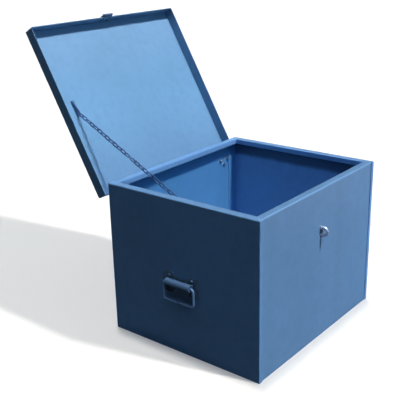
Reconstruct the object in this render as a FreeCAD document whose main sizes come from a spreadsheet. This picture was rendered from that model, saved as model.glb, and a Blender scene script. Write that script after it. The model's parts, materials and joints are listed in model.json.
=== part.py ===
# Lidded steel storage chest: folded sheet body, pan-shaped lid on two butt hinges, a stay chain,
# a drop handle on each end, and a hasp and staple at the front. Millimetres.
#
# Frame: the origin is the centre of the base, +Z is up, -Y is the front with the staple, and +Y is
# the hinge side. The lid stands open, leaning back against its chain. Everything that the lid
# carries is modelled with the lid closed, and is then turned open about the hinge pins.
import FreeCAD, Part
import math
import os

import Sketcher
from FreeCAD import Placement, Rotation, Vector

os.makedirs("parts", exist_ok=True)
doc = FreeCAD.newDocument("StorageChest")

# ---------------------------------------------------------------- driving dimensions

DIMENSIONS = [
    ("box_width", 700),            # outside, along X
    ("box_depth", 598),            # outside, along Y
    ("box_height", 530),
    ("sheet", 2),                  # thickness of the folded sheets
    ("rim_width", 26),             # top flange of each wall
    ("rim_lip", 18),               # drop of the rim's inner edge, from the top
    ("front_setback", 2.5),        # front sheet behind the folded ends of the side sheets
    ("front_strip", 15),           # width of those folded ends
    ("rear_strip", 45),            # width of the side sheets' inner returns at the back
    ("rim_bend", 5),               # outer bend of the rim
    ("lip_bend", 3),               # inner bend of the rim
    ("corner_bend", 2),            # upright folds at the front corners
    ("floor_edge", 20),            # upturned edge of the floor
    ("lid_gap", 1.5),              # between the lid's edges and the walls
    ("lid_seat", 0.5),             # between the closed lid and the rim
    ("lid_lip", 39),               # depth of the lid's edges
    ("lid_bend", 3.5),
    ("open_angle", 119.5),         # lid, from closed to its rest against the chain
    ("hinge_offset", 76),          # hinge centre, in from the end wall
    ("hinge_width", 64),
    ("hinge_plate", 3),
    ("hinge_drop", 7),             # pin centre below the lid's edge
    ("knuckle_radius", 5),
    ("pin_radius", 2.5),
    ("pin_clearance", 0.05),
    ("knuckle_gap", 0.4),
    ("bolt_radius", 3),
    ("bolt_clearance", 0.2),
    ("bolt_head_radius", 6.5),
    ("bolt_head", 3.5),
    ("bolt_end", 0.8),             # flat end inside the lid's edge
    ("nut_radius", 5.8),           # across the corners, halved
    ("nut_height", 5),
    ("rivet_radius", 2.5),
    ("rivet_head_radius", 4.5),
    ("rivet_head", 2.2),
    ("handle_height", 252),        # axis of the handle's rod above the base
    ("handle_plate", 2.5),
    ("ear_corner", 10),
    ("sleeve_radius", 12),
    ("sleeve_clearance", 0.1),
    ("sleeve_length", 100),
    ("bail_rod", 4.5),             # radius
    ("bail_half_width", 61),
    ("bail_drop", 63),
    ("bail_corner", 11),
    ("hasp_width", 44),
    ("strap_width", 34),
    ("strap_length", 140),
    ("strap_plate", 2.5),
    ("hasp_knuckle", 4.5),
    ("staple_height", 384),        # centre of the staple above the base
    ("staple_wire", 5),            # radius
    ("staple_bend", 13),
    ("staple_straight", 10),
    ("strap_slot", 6),             # half its width
    ("chain_wire", 4),             # diameter
    ("chain_link_width", 15),      # outside
    ("chain_gap", 1.5),            # where the two runs meet
    ("bracket_across", 294),       # lid bracket, from the middle of the chest
    ("bracket_along", 292),        # its eye, in from the lid's hinge edge
    ("bracket_reach", 16),         # its eye, below the lid's top face
    ("anchor_across", 313.5),      # box anchor, from the middle of the chest
    ("anchor_drop", 30),           # its eye, below the rim's top
    ("eye_radius", 4.5),
]

CHAIN_LINKS_PER_RUN = 13
HEX_SIDES = 6

sheet = doc.addObject("Spreadsheet::Sheet", "Sizes")
for row, (alias, number) in enumerate(DIMENSIONS, start=1):
    sheet.set(f"A{row}", alias)
    sheet.set(f"B{row}", str(number))
    sheet.setAlias(f"B{row}", alias)
doc.recompute()


class Size:
    """A length with the expression that gives it, so that a feature can be bound to the sheet."""

    def __init__(self, value, text):
        self.value = value
        self.text = text

    def __add__(self, other):
        other = as_size(other)
        return Size(self.value + other.value, f"({self.text} + {other.text})")

    def __sub__(self, other):
        other = as_size(other)
        return Size(self.value - other.value, f"({self.text} - {other.text})")

    def __rsub__(self, other):
        return as_size(other) - self

    def __mul__(self, factor):
        return Size(self.value * factor, f"({self.text} * {factor:.9f})")

    def __neg__(self):
        return self * -1

    def __truediv__(self, number):
        return self * (1 / number)

    __radd__ = __add__
    __rmul__ = __mul__


def as_size(number):
    if isinstance(number, Size):
        return number
    return Size(number, f"({number:.9f})")


def in_order(first, second):
    return sorted([first, second], key=lambda size: size.value)


def cell(alias):
    return Size(float(sheet.get(alias)), f"Sizes.{alias}")


# Faces and axes that several sub-parts share.
half_width = cell("box_width") / 2
half_depth = cell("box_depth") / 2
height = cell("box_height")
thick = cell("sheet")
rim_under = height - thick
inner_x = half_width - thick
rim_inner_x = half_width - cell("rim_width")
front_face = -(half_depth - cell("front_setback"))
front_inner = front_face + thick
rim_inner_front = front_face + cell("rim_width")
rim_inner_back = half_depth - cell("rim_width")
back_inner = half_depth - thick

lid_inner_x = half_width + cell("lid_gap")
lid_outer_x = lid_inner_x + thick
lid_inner_y = half_depth + cell("lid_gap")
lid_outer_y = lid_inner_y + thick
lid_under = height + cell("lid_seat")
lid_top = lid_under + thick
lid_edge = lid_top - cell("lid_lip")

hinge_x = half_width - cell("hinge_offset")
hinge_y = half_depth + cell("knuckle_radius") + 0.5
hinge_z = lid_edge - cell("hinge_drop")
hasp_y = -(lid_outer_y + 5)
hasp_z = lid_edge - cell("hasp_knuckle")
open_angle = cell("open_angle").value

parts = []


# ---------------------------------------------------------------- building helpers

def bind(feature, name, size):
    """Sets a property from a size and ties it to the sheet."""
    size = as_size(size)
    setattr(feature, name, size.value)
    feature.setExpression(name, size.text)


def new_body(name, allow_compound=False):
    body = doc.addObject("PartDesign::Body", name)
    body.Label = name
    body.AllowCompound = allow_compound
    parts.append(body)
    return body


def new_sketch(body, plane, offset, name):
    """A sketch on one of the body's own origin planes, moved by offset along the plane's normal."""
    sketch = body.newObject("Sketcher::SketchObject", f"{body.Name}_{name}")
    origin_plane = [item for item in body.Origin.OriginFeatures if item.Role == plane][0]
    sketch.AttachmentSupport = [(origin_plane, "")]
    sketch.MapMode = "FlatFace"
    offset = as_size(offset)
    sketch.AttachmentOffset = Placement(Vector(0, 0, offset.value), Rotation())
    sketch.setExpression("AttachmentOffset.Base.z", offset.text)
    return sketch


def pin_point(sketch, geometry, position, x, y):
    """Fixes one point of a sketch at sizes from the sheet."""
    for kind, size in (("DistanceX", as_size(x)), ("DistanceY", as_size(y))):
        index = sketch.addConstraint(Sketcher.Constraint(kind, -1, 1, geometry, position, size.value))
        sketch.setExpression(f"Constraints[{index}]", size.text)


def add_polygon(sketch, points):
    """A closed outline whose corners are pairs of sizes."""
    points = [(as_size(x), as_size(y)) for x, y in points]
    first = sketch.GeometryCount
    count = len(points)
    for index, (x, y) in enumerate(points):
        next_x, next_y = points[(index + 1) % count]
        start = Vector(x.value, y.value, 0)
        end = Vector(next_x.value, next_y.value, 0)
        sketch.addGeometry(Part.LineSegment(start, end), False)
    for index in range(count):
        following = first + (index + 1) % count
        sketch.addConstraint(Sketcher.Constraint("Coincident", first + index, 2, following, 1))
    for index, (x, y) in enumerate(points):
        pin_point(sketch, first + index, 1, x, y)


def add_rectangle(sketch, left, right, low, high):
    add_polygon(sketch, [(left, low), (right, low), (right, high), (left, high)])


def add_circle(sketch, x, y, radius):
    x, y, radius = as_size(x), as_size(y), as_size(radius)
    index = sketch.addGeometry(Part.Circle(Vector(x.value, y.value, 0), Vector(0, 0, 1), radius.value))
    pin_point(sketch, index, 3, x, y)
    limit = sketch.addConstraint(Sketcher.Constraint("Radius", index, radius.value))
    sketch.setExpression(f"Constraints[{limit}]", radius.text)


def add_slot(sketch, x, low, high, radius):
    """A rounded upright slot between two heights."""
    x, low, high, radius = as_size(x), as_size(low), as_size(high), as_size(radius)
    top = Vector(x.value, high.value - radius.value, 0)
    bottom = Vector(x.value, low.value + radius.value, 0)
    up = Vector(0, 0, 1)
    upper = sketch.addGeometry(Part.ArcOfCircle(Part.Circle(top, up, radius.value), 0, math.pi))
    lower = sketch.addGeometry(Part.ArcOfCircle(Part.Circle(bottom, up, radius.value), math.pi, 2 * math.pi))
    side = Vector(radius.value, 0, 0)
    left = sketch.addGeometry(Part.LineSegment(top - side, bottom - side))
    right = sketch.addGeometry(Part.LineSegment(bottom + side, top + side))
    for first, second in (((upper, 2), (left, 1)), ((left, 2), (lower, 1)),
                          ((lower, 2), (right, 1)), ((right, 2), (upper, 1))):
        sketch.addConstraint(Sketcher.Constraint("Tangent", first[0], first[1], second[0], second[1]))
    pin_point(sketch, upper, 3, x, high - radius)
    pin_point(sketch, lower, 3, x, low + radius)
    limit = sketch.addConstraint(Sketcher.Constraint("Radius", upper, radius.value))
    sketch.setExpression(f"Constraints[{limit}]", radius.text)


def pad(body, sketch, length, reverse=False, both_ways=False):
    feature = body.newObject("PartDesign::Pad", f"{sketch.Name}_pad")
    feature.Profile = sketch
    bind(feature, "Length", length)
    feature.Reversed = reverse
    feature.Midplane = both_ways
    body.Tip = feature
    doc.recompute()
    return feature


def pocket(body, sketch, depth, reverse=False, both_ways=False):
    """Cuts into the body, and stops if the cut takes nothing away."""
    before = body.Shape.Volume
    feature = body.newObject("PartDesign::Pocket", f"{sketch.Name}_pocket")
    feature.Profile = sketch
    bind(feature, "Length", depth)
    feature.Reversed = reverse
    feature.Midplane = both_ways
    body.Tip = feature
    doc.recompute()
    if body.Shape.Volume >= before:
        raise ValueError(f"{feature.Name} cuts nothing")
    return feature


def fillet(body, radius, wanted):
    """Rounds the edges for which wanted(edge) is true."""
    base = body.Tip
    names = [f"Edge{number}" for number, edge in enumerate(base.Shape.Edges, start=1) if wanted(edge)]
    feature = body.newObject("PartDesign::Fillet", f"{body.Name}_fillet_{len(body.Group)}")
    feature.Base = (base, names)
    bind(feature, "Radius", radius)
    body.Tip = feature
    doc.recompute()
    return feature


def edge_middle(edge):
    low, high = edge.ParameterRange
    return edge.valueAt((low + high) / 2)


def near(first, second, limit=1e-4):
    return abs(first - second) < limit


def turn_open(piece):
    """Turns a piece that was modelled on the closed lid to the open lid."""
    pivot = Vector(0, hinge_y.value, hinge_z.value)
    turn = Placement(Vector(), Rotation(Vector(1, 0, 0), -open_angle), pivot)
    piece.Placement = turn.multiply(piece.Placement)


def round_group(name, plane, centres, steps, rounded=None):
    """Round pieces such as bolts: each step is (from, to, radius) along the plane's normal."""
    body = new_body(name, allow_compound=True)
    for number, (start, end, radius) in enumerate(steps):
        sketch = new_sketch(body, plane, start, f"step_{number}")
        for x, y in centres:
            add_circle(sketch, x, y, radius)
        length = as_size(end) - start
        pad(body, sketch, length if length.value > 0 else -length, reverse=length.value < 0)
    if rounded is not None:
        radius, wanted = rounded
        fillet(body, radius, wanted)
    return body


def nut_group(name, plane, centres, start, height_up, bore, radius):
    """Hexagonal nuts, tight on what they hold; the radius is to their corners."""
    body = new_body(name, allow_compound=True)
    sketch = new_sketch(body, plane, start, "hexagons")
    for x, y in centres:
        corners = []
        for side in range(HEX_SIDES):
            angle = 2 * math.pi * side / HEX_SIDES
            across = radius * math.cos(angle)
            up = radius * math.sin(angle)
            corners.append((as_size(x) + across, as_size(y) + up))
        add_polygon(sketch, corners)
        add_circle(sketch, x, y, bore)
    pad(body, sketch, height_up if height_up.value > 0 else -height_up, reverse=height_up.value < 0)
    return body


# ---------------------------------------------------------------- walls and floor

def folded_wall(name, plane, axis, outer, rim, inward, start, length):
    """A sheet folded at the top into the rim's flange and lip, and run along the plane's normal.

    Its outer face and the lip's inner face lie at outer and rim along the axis, and inward (1 or -1)
    is the way from the first to the second.
    """
    body = new_body(name)
    skin = outer + thick * inward
    drop = rim - thick * inward
    lip_end = height - cell("rim_lip")
    profile = new_sketch(body, plane, start, "profile")
    add_polygon(profile, [(outer, 0), (skin, 0), (skin, rim_under), (drop, rim_under), (drop, lip_end),
                          (rim, lip_end), (rim, height), (outer, height)])
    pad(body, profile, length)
    for place, level, radius in ((skin, rim_under, cell("rim_bend") - thick),
                                 (drop, rim_under, cell("lip_bend") - thick),
                                 (outer, height, cell("rim_bend")), (rim, height, cell("lip_bend"))):
        fillet(body, radius, lambda edge: near(edge_middle(edge).z, level.value)
               and near(getattr(edge_middle(edge), axis), place.value))
    return body


def mitre(body, name, corners):
    """Cuts the rim's flange and lip away inside an outline seen from above."""
    outline = new_sketch(body, "XY_Plane", height, name)
    add_polygon(outline, corners)
    pocket(body, outline, cell("rim_lip") + 1)


def bolt_holes(body, plane, offset, centres, radius):
    """Round holes right through a sheet that lies across the plane's normal."""
    sketch = new_sketch(body, plane, offset, "holes")
    for x, y in centres:
        add_circle(sketch, x, y, radius)
    pocket(body, sketch, 12, both_ways=True)


def hinge_box_holes(side):
    centre = side * hinge_x
    return [(centre - 22, hinge_z - 31.5), (centre + 22, hinge_z - 31.5), (centre, hinge_z - 51)]


def hinge_lid_holes(side):
    centre = side * hinge_x
    return [(centre - 22, hinge_z + 26), (centre + 22, hinge_z + 26)]


def both_sides(holes):
    return holes(-1) + holes(1)


bolt_hole = cell("bolt_radius") + cell("bolt_clearance")
rivet_hole = cell("rivet_radius") + cell("bolt_clearance")
staple_hole = cell("staple_wire") + cell("bolt_clearance")
staple_legs = [(as_size(0), cell("staple_height") + sign * cell("staple_bend")) for sign in (-1, 1)]

# Front: set back between the folded ends of the side sheets.
front_panel = folded_wall("front_panel", "YZ_Plane", "y", front_face, rim_inner_front, 1,
                          -inner_x, inner_x * 2)
for side in (-1, 1):
    mitre(front_panel, f"mitre_{side + 1}", [
        (side * inner_x, front_face), (side * rim_inner_x, rim_inner_front),
        (side * rim_inner_x, rim_inner_front + 1), (side * (inner_x + 1), rim_inner_front + 1),
        (side * (inner_x + 1), front_face)])
bolt_holes(front_panel, "XZ_Plane", -front_face, staple_legs, staple_hole)

# Back: full width, outside the side sheets' returns.
back_panel = folded_wall("back_panel", "YZ_Plane", "y", half_depth, rim_inner_back, -1,
                         -half_width, half_width * 2)
for side in (-1, 1):
    mitre(back_panel, f"mitre_{side + 1}", [
        (side * inner_x, back_inner), (side * rim_inner_x, rim_inner_back),
        (side * rim_inner_x, rim_inner_back - 1), (side * (half_width + 1), rim_inner_back - 1),
        (side * (half_width + 1), back_inner)])
bolt_holes(back_panel, "XZ_Plane", -half_depth, both_sides(hinge_box_holes), bolt_hole)


def side_panel(name, side):
    """An end wall: its end is folded over the front's edge, and a return runs inside the back corner."""
    outer = side * half_width
    inner = side * inner_x
    strip = side * (half_width - cell("front_strip"))
    rear = side * (half_width - cell("sheet") - cell("rear_strip"))
    rim = side * rim_inner_x
    past_rim = side * (rim_inner_x - 1)
    body = folded_wall(name, "XZ_Plane", "x", outer, rim, -side, -back_inner, back_inner + half_depth)
    mitre(body, "front_mitre", [
        (strip, -half_depth - 1), (strip, front_face), (inner, front_face), (rim, rim_inner_front),
        (past_rim, rim_inner_front), (past_rim, -half_depth - 1)])
    mitre(body, "rear_mitre", [
        (inner, back_inner), (rim, rim_inner_back), (past_rim, rim_inner_back),
        (past_rim, back_inner + 1), (inner, back_inner + 1)])
    fold = new_sketch(body, "XY_Plane", 0, "fold")
    add_rectangle(fold, *in_order(strip, inner), -half_depth, front_face)
    pad(body, fold, rim_under)
    rear_return = new_sketch(body, "XY_Plane", 0, "rear_return")
    add_rectangle(rear_return, *in_order(rear, inner), back_inner - thick, back_inner)
    pad(body, rear_return, height - cell("rim_bend"))
    fillet(body, cell("corner_bend"), lambda edge: near(edge_middle(edge).y, -half_depth.value)
           and edge_middle(edge).z > 1 and abs(edge_middle(edge).x) > abs(strip.value) + 1)
    bolt_holes(body, "YZ_Plane", outer, handle_rivet_centres(), rivet_hole)
    return body


def handle_rivet_centres():
    middle = cell("handle_height")
    return [(as_size(across), middle + up) for across in (-46, 46) for up in (-27, 20)]


side_panel("left_side_panel", -1)
side_panel("right_side_panel", 1)

# Floor: a shallow tray welded inside the walls.
floor_panel = new_body("floor_panel")
tray = new_sketch(floor_panel, "XY_Plane", 0, "tray")
add_rectangle(tray, -inner_x, inner_x, front_inner, back_inner - thick)
pad(floor_panel, tray, cell("floor_edge"))
hollow = new_sketch(floor_panel, "XY_Plane", cell("floor_edge"), "hollow")
add_rectangle(hollow, thick - inner_x, inner_x - thick, front_inner + thick, back_inner - thick * 2)
pocket(floor_panel, hollow, cell("floor_edge") - thick)

# ---------------------------------------------------------------- lid

lid_pan = new_body("lid_pan")
block = new_sketch(lid_pan, "XY_Plane", lid_edge, "block")
add_rectangle(block, -lid_outer_x, lid_outer_x, -lid_outer_y, lid_outer_y)
pad(lid_pan, block, cell("lid_lip"))
inside = new_sketch(lid_pan, "XY_Plane", lid_under, "inside")
add_rectangle(inside, -lid_inner_x, lid_inner_x, -lid_inner_y, lid_inner_y)
pocket(lid_pan, inside, cell("lid_lip") - thick)
fillet(lid_pan, cell("lid_bend"), lambda edge: near(edge_middle(edge).z, lid_top.value)
       or (near(abs(edge_middle(edge).x), lid_outer_x.value)
           and near(abs(edge_middle(edge).y), lid_outer_y.value)))
bolt_holes(lid_pan, "XZ_Plane", -lid_outer_y, both_sides(hinge_lid_holes), bolt_hole)
hasp_rivet_centres = [(as_size(across), hasp_z + up) for across in (-14, 14) for up in (15, 31)]
hasp_holes = new_sketch(lid_pan, "XZ_Plane", lid_outer_y, "hasp_holes")
for across, up in hasp_rivet_centres:
    add_circle(hasp_holes, across, up, rivet_hole)
pocket(lid_pan, hasp_holes, 12, both_ways=True)
turn_open(lid_pan)

# ---------------------------------------------------------------- hinges


def knuckles(body, y, z, spans, radius, bore):
    """Barrel segments along X, each (from, to), with the pin's bore through them all."""
    for number, (low, high) in enumerate(spans):
        barrel = new_sketch(body, "YZ_Plane", low, f"barrel_{number}")
        add_circle(barrel, y, z, radius)
        pad(body, barrel, high - low)
    hole = new_sketch(body, "YZ_Plane", spans[0][0] - 1, "bore")
    add_circle(hole, y, z, bore)
    pocket(body, hole, spans[-1][1] - spans[0][0] + 2, reverse=True)


def hinge(name, side):
    """One butt hinge: three-bolt leaf on the back wall, two-bolt leaf on the lid's edge, and a pin."""
    centre = side * hinge_x
    half = cell("hinge_width") / 2
    third = cell("hinge_width") / 6
    gap = cell("knuckle_gap")
    radius = cell("knuckle_radius")
    bore = cell("pin_radius") + cell("pin_clearance")
    clear = radius + 0.6

    leaf = new_body(f"{name}_hinge_box_leaf")
    plate = new_sketch(leaf, "XZ_Plane", -half_depth, "plate")
    low = hinge_z - 62
    add_polygon(plate, [
        (centre - 14, low), (centre + 14, low), (centre + half, hinge_z - 36), (centre + half, hinge_z),
        (centre + third, hinge_z), (centre + third, hinge_z - clear), (centre - third, hinge_z - clear),
        (centre - third, hinge_z), (centre - half, hinge_z), (centre - half, hinge_z - 36)])
    pad(leaf, plate, cell("hinge_plate"), reverse=True)
    knuckles(leaf, hinge_y, hinge_z, [(centre - half, centre - third), (centre + third, centre + half)],
             radius, cell("pin_radius"))
    bolt_holes(leaf, "XZ_Plane", -half_depth, hinge_box_holes(side), bolt_hole)

    leaf = new_body(f"{name}_hinge_lid_leaf")
    plate = new_sketch(leaf, "XZ_Plane", -lid_outer_y, "plate")
    high = hinge_z + 38
    inner = third - gap
    add_polygon(plate, [
        (centre - inner, hinge_z), (centre + inner, hinge_z), (centre + inner, hinge_z + clear),
        (centre + half, hinge_z + clear), (centre + half, high), (centre - half, high),
        (centre - half, hinge_z + clear), (centre - inner, hinge_z + clear)])
    pad(leaf, plate, cell("hinge_plate"), reverse=True)
    knuckles(leaf, hinge_y, hinge_z, [(centre - inner, centre + inner)], radius, bore)
    bolt_holes(leaf, "XZ_Plane", -lid_outer_y, hinge_lid_holes(side), bolt_hole)
    turn_open(leaf)

    end = centre + half
    start = centre - half
    round_group(f"{name}_hinge_pin", "YZ_Plane", [(hinge_y, hinge_z)], [
        (start - 1.5, start, cell("pin_radius") + 1),
        (start, end, cell("pin_radius")),
        (end, end + 1.5, cell("pin_radius") + 1)])


hinge("left", -1)
hinge("right", 1)


def head_rim(height_of_rim, axis):
    """Picks the outer circle of a bolt's or rivet's head, at a height along the axis."""
    def wanted(edge):
        middle = edge_middle(edge)
        return near(getattr(middle, axis), height_of_rim.value, 1e-3)
    return wanted


box_bolt_top = half_depth + cell("hinge_plate") + cell("bolt_head")
round_group("hinge_box_bolts", "XZ_Plane", both_sides(hinge_box_holes), [
    (-half_depth - cell("hinge_plate"), -box_bolt_top, cell("bolt_head_radius")),
    (-half_depth - cell("hinge_plate"), cell("nut_height") + 1.5 - back_inner, cell("bolt_radius"))],
    rounded=(cell("bolt_head") * 0.7, head_rim(box_bolt_top, "y")))
nut_group("hinge_box_nuts", "XZ_Plane", both_sides(hinge_box_holes), -back_inner, cell("nut_height"),
          cell("bolt_radius"), cell("nut_radius"))

lid_bolt_top = lid_outer_y + cell("hinge_plate") + cell("bolt_head")
lid_bolts = round_group("hinge_lid_bolts", "XZ_Plane", both_sides(hinge_lid_holes), [
    (-lid_outer_y - cell("hinge_plate"), -lid_bolt_top, cell("bolt_head_radius")),
    (-lid_outer_y - cell("hinge_plate"), cell("bolt_end") - lid_inner_y, cell("bolt_radius")),
    (-lid_inner_y, cell("bolt_end") - lid_inner_y, cell("bolt_radius") + 1.5)],
    rounded=(cell("bolt_head") * 0.7, head_rim(lid_bolt_top, "y")))
turn_open(lid_bolts)

# ---------------------------------------------------------------- drop handles


def handle(name, side):
    """A backing plate with two ears, a sleeve welded across it, and a closed ring through the sleeve."""
    face = side * half_width
    axis_x = side * (half_width + cell("handle_plate") + cell("sleeve_radius"))
    axis_z = cell("handle_height")
    outward = side < 0

    plate = new_body(f"{name}_handle_plate")
    outline = new_sketch(plate, "YZ_Plane", face, "outline")
    ear_in, ear_out, bar = 30, 73, 14
    low, high = axis_z - 40, axis_z + 30
    add_polygon(outline, [
        (-ear_out, low), (-ear_in, low), (-ear_in, axis_z - bar), (ear_in, axis_z - bar), (ear_in, low),
        (ear_out, low), (ear_out, high), (ear_in, high), (ear_in, axis_z + bar), (-ear_in, axis_z + bar),
        (-ear_in, high), (-ear_out, high)])
    pad(plate, outline, cell("handle_plate"), reverse=outward)
    fillet(plate, cell("ear_corner"), lambda edge: near(abs(edge.tangentAt(edge.FirstParameter).x), 1)
           and not near(abs(edge_middle(edge).z - axis_z.value), bar))
    bolt_holes(plate, "YZ_Plane", face, handle_rivet_centres(), rivet_hole)

    sleeve = new_body(f"{name}_handle_sleeve")
    tube = new_sketch(sleeve, "XZ_Plane", 0, "tube")
    add_circle(tube, axis_x, axis_z, cell("sleeve_radius"))
    pad(sleeve, tube, cell("sleeve_length"), both_ways=True)
    foot = new_sketch(sleeve, "XZ_Plane", 0, "foot")
    add_rectangle(foot, *in_order(axis_x, face + side * cell("handle_plate")), axis_z - 9, axis_z + 9)
    pad(sleeve, foot, cell("sleeve_length"), both_ways=True)
    bore = new_sketch(sleeve, "XZ_Plane", 0, "bore")
    add_circle(bore, axis_x, axis_z, cell("bail_rod") + cell("sleeve_clearance"))
    pocket(sleeve, bore, cell("sleeve_length") + 2, both_ways=True)

    bail(f"{name}_handle_bail", axis_x, axis_z)

    rivet_top = half_width + cell("handle_plate") + cell("rivet_head")
    seat = side * (half_width + cell("handle_plate"))
    tail = side * (inner_x - cell("rivet_head"))
    round_group(f"{name}_handle_rivets", "YZ_Plane", handle_rivet_centres(), [
        (seat, side * rivet_top, cell("rivet_head_radius")),
        (seat, tail, cell("rivet_radius")),
        (side * inner_x, tail, cell("rivet_head_radius"))],
        rounded=(cell("rivet_head") * 0.8, head_rim(side * rivet_top, "x")))


def bail(name, axis_x, axis_z):
    """The ring: a rod bent to a rounded rectangle, hanging from its top side."""
    body = new_body(name)
    path = new_sketch(body, "YZ_Plane", axis_x, "path")
    half = cell("bail_half_width").value
    corner = cell("bail_corner").value
    top = axis_z.value
    low = top - cell("bail_drop").value
    quarter = math.pi / 2
    up = Vector(0, 0, 1)
    centres = [(half - corner, top - corner), (corner - half, top - corner),
               (corner - half, low + corner), (half - corner, low + corner)]
    arcs = []
    for number, (y, z) in enumerate(centres):
        circle = Part.Circle(Vector(y, z, 0), up, corner)
        arcs.append(path.addGeometry(Part.ArcOfCircle(circle, number * quarter, (number + 1) * quarter)))
    for number, arc in enumerate(arcs):
        following = arcs[(number + 1) % len(arcs)]
        start = path.getPoint(arc, 2)
        end = path.getPoint(following, 1)
        line = path.addGeometry(Part.LineSegment(start, end))
        path.addConstraint(Sketcher.Constraint("Tangent", arc, 2, line, 1))
        path.addConstraint(Sketcher.Constraint("Tangent", line, 2, following, 1))
    inset = cell("bail_corner")
    spans = cell("bail_half_width") - inset
    pin_point(path, arcs[0], 3, spans, axis_z - inset)
    pin_point(path, arcs[1], 3, -spans, axis_z - inset)
    pin_point(path, arcs[2], 3, -spans, axis_z - cell("bail_drop") + inset)
    limit = path.addConstraint(Sketcher.Constraint("Radius", arcs[0], corner))
    path.setExpression(f"Constraints[{limit}]", inset.text)
    path.addConstraint(Sketcher.Constraint("Equal", arcs[0], arcs[1]))
    path.addConstraint(Sketcher.Constraint("Equal", arcs[0], arcs[2]))
    path.addConstraint(Sketcher.Constraint("Equal", arcs[0], arcs[3]))
    section = new_sketch(body, "XZ_Plane", 0, "section")
    add_circle(section, axis_x, axis_z - cell("bail_drop"), cell("bail_rod"))
    doc.recompute()
    pipe = body.newObject("PartDesign::AdditivePipe", f"{name}_pipe")
    pipe.Profile = section
    pipe.Spine = (path, [f"Edge{number + 1}" for number in range(path.GeometryCount)])
    body.Tip = pipe
    doc.recompute()


handle("left", -1)
handle("right", 1)

# ---------------------------------------------------------------- hasp and staple

hasp_half = cell("hasp_width") / 2
hasp_third = cell("hasp_width") / 6
hasp_inner = hasp_third - cell("knuckle_gap")
hasp_radius = cell("hasp_knuckle")
hasp_bore = cell("pin_radius") - 0.5

# Leaf on the lid's front edge, with the two outer barrel segments.
hasp_leaf = new_body("hasp_leaf")
leaf_plate = new_sketch(hasp_leaf, "XZ_Plane", lid_outer_y, "plate")
leaf_top = hasp_z + 39
leaf_clear = hasp_z + hasp_radius + 1.5
add_polygon(leaf_plate, [
    (-hasp_half, hasp_z), (-hasp_third, hasp_z), (-hasp_third, leaf_clear), (hasp_third, leaf_clear),
    (hasp_third, hasp_z), (hasp_half, hasp_z), (hasp_half, leaf_top), (-hasp_half, leaf_top)])
pad(hasp_leaf, leaf_plate, cell("strap_plate"))
knuckles(hasp_leaf, hasp_y, hasp_z, [(-hasp_half, -hasp_third), (hasp_third, hasp_half)],
         hasp_radius, hasp_bore)
leaf_holes = new_sketch(hasp_leaf, "XZ_Plane", lid_outer_y, "holes")
for across, up in hasp_rivet_centres:
    add_circle(leaf_holes, across, up, rivet_hole)
pocket(hasp_leaf, leaf_holes, 12, both_ways=True)
turn_open(hasp_leaf)

# Strap: modelled hanging over the staple on the closed lid, with its slot around the staple.
hasp_strap = new_body("hasp_strap")
strap_back = -hasp_y - cell("strap_plate") - 1
strap_half = cell("strap_width") / 2
strap_low = hasp_z - cell("strap_length")
strap_plate = new_sketch(hasp_strap, "XZ_Plane", strap_back, "plate")
strap_shoulder = hasp_z - 9
add_polygon(strap_plate, [
    (-strap_half, strap_low), (strap_half, strap_low), (strap_half, strap_shoulder),
    (hasp_inner, strap_shoulder), (hasp_inner, hasp_z), (-hasp_inner, hasp_z),
    (-hasp_inner, strap_shoulder), (-strap_half, strap_shoulder)])
pad(hasp_strap, strap_plate, cell("strap_plate"))
fillet(hasp_strap, 12, lambda edge: near(edge_middle(edge).z, strap_low.value)
       and near(abs(edge_middle(edge).x), strap_half.value))
knuckles(hasp_strap, hasp_y, hasp_z, [(-hasp_inner, hasp_inner)], hasp_radius, hasp_bore + 0.05)
slot_half = cell("staple_bend") + cell("staple_wire") + 3
strap_slot = new_sketch(hasp_strap, "XZ_Plane", strap_back, "slot")
staple_at = cell("staple_height")
add_slot(strap_slot, 0, staple_at - slot_half, staple_at + slot_half, cell("strap_slot"))
pocket(hasp_strap, strap_slot, 12, both_ways=True)
# It is thrown back over the lid's edge: half a turn about its own pin, then open with the lid.
strap_pivot = Vector(0, hasp_y.value, hasp_z.value)
hasp_strap.Placement = Placement(Vector(), Rotation(Vector(1, 0, 0), 180), strap_pivot)
turn_open(hasp_strap)

hasp_pin = round_group("hasp_pin", "YZ_Plane", [(hasp_y, hasp_z)], [
    (-hasp_half - 1, -hasp_half, hasp_bore + 1),
    (-hasp_half, hasp_half, hasp_bore),
    (hasp_half, hasp_half + 1, hasp_bore + 1)])
turn_open(hasp_pin)

hasp_rivet_top = lid_outer_y + cell("strap_plate") + cell("rivet_head")
hasp_rivets = round_group("hasp_rivets", "XZ_Plane", hasp_rivet_centres, [
    (lid_outer_y + cell("strap_plate"), hasp_rivet_top, cell("rivet_head_radius")),
    (lid_outer_y + cell("strap_plate"), lid_inner_y - 1.5, cell("rivet_radius")),
    (lid_inner_y, lid_inner_y - 1.5, cell("rivet_head_radius"))],
    rounded=(cell("rivet_head") * 0.8, head_rim(-hasp_rivet_top, "y")))
turn_open(hasp_rivets)

# Staple: a bent rod through the front sheet, held by two nuts inside.
staple = new_body("staple")
staple_path = new_sketch(staple, "YZ_Plane", 0, "path")
bend = cell("staple_bend")
bend_y = front_face - cell("staple_straight")
inside_y = front_inner + cell("nut_height") + 2
middle_z = cell("staple_height")
bend_circle = Part.Circle(Vector(bend_y.value, middle_z.value, 0), Vector(0, 0, 1), bend.value)
arc = staple_path.addGeometry(Part.ArcOfCircle(bend_circle, math.pi / 2, 3 * math.pi / 2))
legs = []
for sign in (1, -1):
    leg_z = middle_z.value + sign * bend.value
    leg_line = Part.LineSegment(Vector(inside_y.value, leg_z, 0), Vector(bend_y.value, leg_z, 0))
    legs.append(staple_path.addGeometry(leg_line))
staple_path.addConstraint(Sketcher.Constraint("Tangent", legs[0], 2, arc, 1))
staple_path.addConstraint(Sketcher.Constraint("Tangent", legs[1], 2, arc, 2))
pin_point(staple_path, arc, 3, bend_y, middle_z)
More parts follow.
